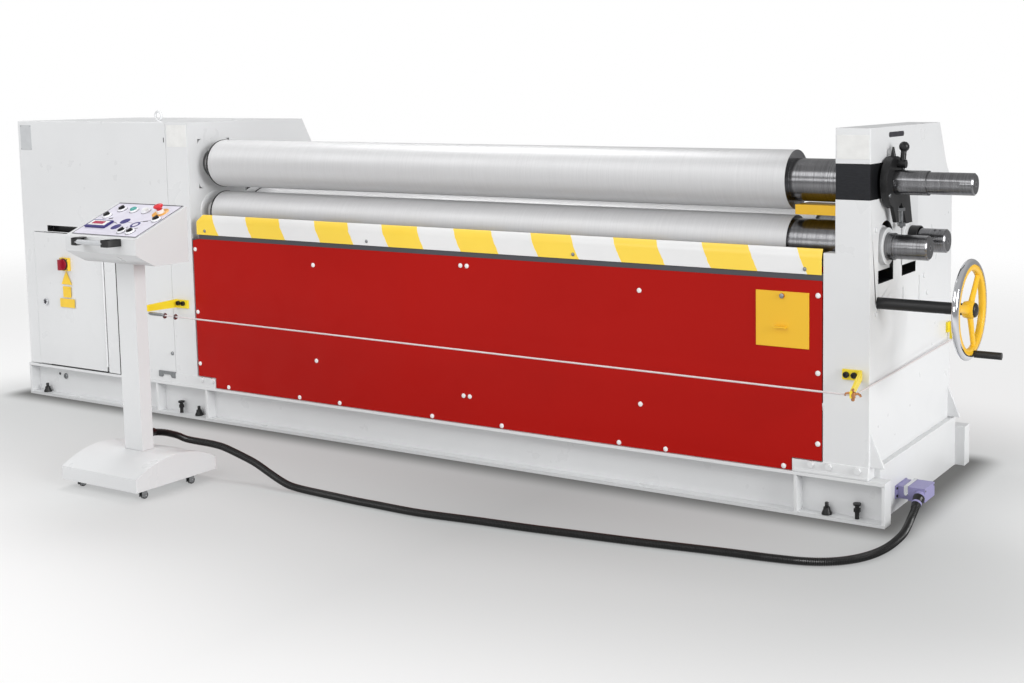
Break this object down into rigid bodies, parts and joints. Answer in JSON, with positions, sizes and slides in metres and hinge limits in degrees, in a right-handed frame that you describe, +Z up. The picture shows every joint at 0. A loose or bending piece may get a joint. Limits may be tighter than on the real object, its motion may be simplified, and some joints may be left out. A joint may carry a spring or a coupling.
{
  "type": "plate rolling machine",
  "caption": "Plate rolling machine: three long steel rolls between side frames on a welded base, with a striped guard, handwheel and wheeled control console.",
  "frame": {"origin": "middle of the front base beam's underside, on the floor", "axes": "+X along the rolls to the handwheel end, +Y from the front to the rear, +Z up"},
  "size_m": [4.363, 1.745, 1.261],
  "materials": {
    "paint_white": "satin light grey enamel",
    "paint_red": "satin red enamel",
    "paint_yellow": "satin yellow enamel",
    "guard_stripes": "white enamel with slanting yellow stripes",
    "rail_grey": "dark grey enamel",
    "roll_steel": "ground and polished steel",
    "journal_steel": "turned steel, oiled",
    "black_steel": "black oxide steel",
    "black_plastic": "moulded black plastic",
    "red_plastic": "red moulded plastic",
    "green_plastic": "green lens",
    "white_plastic": "white lens",
    "switch_yellow": "yellow moulded plastic",
    "panel_sheet": "pale lavender laminate",
    "wheel_yellow": "yellow enamel with a chromed rim",
    "rope_wire": "plastic-coated wire rope",
    "connector_alloy": "light grey die-cast alloy",
    "conduit_black": "corrugated black conduit",
    "caster_grey": "zinc-plated steel",
    "tyre_black": "rubber"
  },
  "bodies": {
    "machine": {"base_front_beam": "paint_white", "base_rear_beam": "paint_white", "base_left_plate": "paint_white", "base_right_plate": "paint_white", "left_frame": "paint_white", "right_frame": "paint_white", "drive_housing": "paint_white", "lifting_eye": "paint_white", "bearing_plate": "paint_white", "front_panel": "paint_red", "rear_panel": "paint_red", "stripe_guard": "guard_stripes", "guard_rail": "rail_grey", "wear_block": "paint_yellow", "left_bracket": "paint_yellow", "right_bracket": "paint_yellow", "rear_bracket": "paint_yellow", "safety_rope": "rope_wire", "console_foot": "paint_white", "console_post": "paint_white", "console_head": "paint_white", "console_sheet": "panel_sheet", "console_handle": "black_plastic", "connector_socket": "connector_alloy", "connector_plug": "connector_alloy", "conduit": "conduit_black"},
    "top_carrier": {"swing_drum": "journal_steel", "drop_block": "journal_steel", "clamp_plate": "black_steel"},
    "top_roll": {"top_roll": "roll_steel"},
    "clamp_lever": {"clamp_lever": "black_steel"},
    "front_carriage": {"front_block_left": "paint_white", "front_block_right": "paint_white"},
    "front_roll": {"front_roll": "roll_steel"},
    "rear_carriage": {"rear_block_left": "paint_white", "rear_block_right": "paint_white"},
    "rear_roll": {"rear_roll": "roll_steel"},
    "handwheel": {"wheel_shaft": "black_steel", "handwheel": "wheel_yellow"},
    "crank_grip": {"crank_grip": "black_plastic"},
    "door": {"cabinet_door": "paint_white", "main_switch": "switch_yellow"},
    "switch_knob": {"switch_knob": "red_plastic"},
    "access_cover": {"access_cover": "paint_yellow"},
    "e_stop": {"e_stop": "red_plastic"},
    "start_button": {"start_button": "green_plastic"},
    "lamp_button": {"lamp_button": "white_plastic"},
    "mode_selector": {"mode_selector": "black_plastic"},
    "feed_selector": {"feed_selector": "black_plastic"},
    "speed_selector": {"speed_selector": "black_plastic"},
    "jog_left": {"jog_left": "black_plastic"},
    "jog_right": {"jog_right": "black_plastic"},
    "caster_fork_1": {"caster_fork_1": "caster_grey"},
    "caster_fork_2": {"caster_fork_2": "caster_grey"},
    "caster_fork_3": {"caster_fork_3": "caster_grey"},
    "caster_fork_4": {"caster_fork_4": "caster_grey"},
    "caster_wheel_1": {"caster_wheel_1": "tyre_black"},
    "caster_wheel_2": {"caster_wheel_2": "tyre_black"},
    "caster_wheel_3": {"caster_wheel_3": "tyre_black"},
    "caster_wheel_4": {"caster_wheel_4": "tyre_black"}
  },
  "joints": [
    {"name": "top_roll_swing", "type": "hinge", "parent": "machine", "child": "top_carrier", "pos_m": [-1.013, 0.115, 1.046], "axis": [0, 0, -1], "range_deg": [0, 8]},
    {"name": "top_roll_spin", "type": "hinge", "parent": "top_carrier", "child": "top_roll", "pos_m": [-1.013, 0.115, 1.046], "axis": [1, 0, 0], "continuous": true},
    {"name": "clamp_lever_turn", "type": "hinge", "parent": "top_carrier", "child": "clamp_lever", "pos_m": [1.997, 0.127, 1.102], "axis": [1, 0, 0], "range_deg": [-75, 0]},
    {"name": "front_roll_lift", "type": "slide", "parent": "machine", "child": "front_carriage", "axis": [0, 0, 1], "range_m": [-0.0201, 0.0131]},
    {"name": "front_roll_spin", "type": "hinge", "parent": "front_carriage", "child": "front_roll", "pos_m": [0, 0.115, 0.848], "axis": [1, 0, 0], "continuous": true},
    {"name": "rear_roll_lift", "type": "slide", "parent": "machine", "child": "rear_carriage", "axis": [0, 0, 1], "range_m": [-0.03, 0.1]},
    {"name": "rear_roll_spin", "type": "hinge", "parent": "rear_carriage", "child": "rear_roll", "pos_m": [0, 0.323, 0.848], "axis": [1, 0, 0], "continuous": true},
    {"name": "handwheel_turn", "type": "hinge", "parent": "machine", "child": "handwheel", "pos_m": [2.25, 0.05, 0.68], "axis": [1, 0, 0], "range_deg": [-1200, 780]},
    {"name": "crank_grip_spin", "type": "hinge", "parent": "handwheel", "child": "crank_grip", "pos_m": [2.25, 0.06893, 0.54532], "axis": [1, 0, 0], "continuous": true},
    {"name": "door_hinge", "type": "hinge", "parent": "machine", "child": "door", "pos_m": [-1.498, -0.022, 0.438], "axis": [0, 0, 1], "range_deg": [0, 100]},
    {"name": "switch_turn", "type": "hinge", "parent": "door", "child": "switch_knob", "pos_m": [-1.734, -0.036, 0.598], "axis": [0, 1, 0], "range_deg": [0, 90]},
    {"name": "cover_turn", "type": "hinge", "parent": "machine", "child": "access_cover", "pos_m": [1.677, -0.0225, 0.693], "axis": [0, 1, 0], "range_deg": [0, 25]},
    {"name": "e_stop_press", "type": "slide", "parent": "machine", "child": "e_stop", "axis": [0, -0.3971, 0.9178], "range_m": [-0.004, 0], "stiffness_N_per_m": 400, "springref_m": 0.001},
    {"name": "start_button_press", "type": "slide", "parent": "machine", "child": "start_button", "axis": [0, -0.3971, 0.9178], "range_m": [-0.003, 0], "stiffness_N_per_m": 400, "springref_m": 0.001},
    {"name": "lamp_button_press", "type": "slide", "parent": "machine", "child": "lamp_button", "axis": [0, -0.3971, 0.9178], "range_m": [-0.003, 0], "stiffness_N_per_m": 400, "springref_m": 0.001},
    {"name": "mode_selector_turn", "type": "hinge", "parent": "machine", "child": "mode_selector", "pos_m": [-0.49604, -0.70688, 0.93793], "axis": [0, -0.3971, 0.9178], "range_deg": [-45, 45]},
    {"name": "feed_selector_turn", "type": "hinge", "parent": "machine", "child": "feed_selector", "pos_m": [-0.51912, -0.7513, 0.91871], "axis": [0, -0.3971, 0.9178], "range_deg": [-45, 45]},
    {"name": "speed_selector_turn", "type": "hinge", "parent": "machine", "child": "speed_selector", "pos_m": [-0.2689, -0.757, 0.91624], "axis": [0, -0.3971, 0.9178], "range_deg": [-45, 45]},
    {"name": "jog_left_turn", "type": "hinge", "parent": "machine", "child": "jog_left", "pos_m": [-0.34503, -0.83503, 0.88247], "axis": [0, -0.3971, 0.9178], "range_deg": [-40, 40]},
    {"name": "jog_right_turn", "type": "hinge", "parent": "machine", "child": "jog_right", "pos_m": [-0.30166, -0.83641, 0.88188], "axis": [0, -0.3971, 0.9178], "range_deg": [-40, 40]},
    {"name": "caster_swivel_1", "type": "hinge", "parent": "machine", "child": "caster_fork_1", "pos_m": [-0.559, -0.881, 0.029], "axis": [0, 0, 1], "continuous": true},
    {"name": "caster_spin_1", "type": "hinge", "parent": "caster_fork_1", "child": "caster_wheel_1", "pos_m": [-0.559, -0.873, 0.012], "axis": [1, 0, 0], "continuous": true},
    {"name": "caster_swivel_2", "type": "hinge", "parent": "machine", "child": "caster_fork_2", "pos_m": [-0.251, -0.881, 0.029], "axis": [0, 0, 1], "continuous": true},
    {"name": "caster_spin_2", "type": "hinge", "parent": "caster_fork_2", "child": "caster_wheel_2", "pos_m": [-0.251, -0.873, 0.012], "axis": [1, 0, 0], "continuous": true},
    {"name": "caster_swivel_3", "type": "hinge", "parent": "machine", "child": "caster_fork_3", "pos_m": [-0.559, -0.686, 0.029], "axis": [0, 0, 1], "continuous": true},
    {"name": "caster_spin_3", "type": "hinge", "parent": "caster_fork_3", "child": "caster_wheel_3", "pos_m": [-0.559, -0.678, 0.012], "axis": [1, 0, 0], "continuous": true},
    {"name": "caster_swivel_4", "type": "hinge", "parent": "machine", "child": "caster_fork_4", "pos_m": [-0.251, -0.686, 0.029], "axis": [0, 0, 1], "continuous": true},
    {"name": "caster_spin_4", "type": "hinge", "parent": "caster_fork_4", "child": "caster_wheel_4", "pos_m": [-0.251, -0.678, 0.012], "axis": [1, 0, 0], "continuous": true}
  ],
  "couplings": [
    {"joint": "front_roll_lift", "follows": "handwheel_turn", "m_per_rad": 0.000955},
    {"joint": "front_roll_spin", "follows": "top_roll_spin", "ratio": -1.1177}
  ]
}
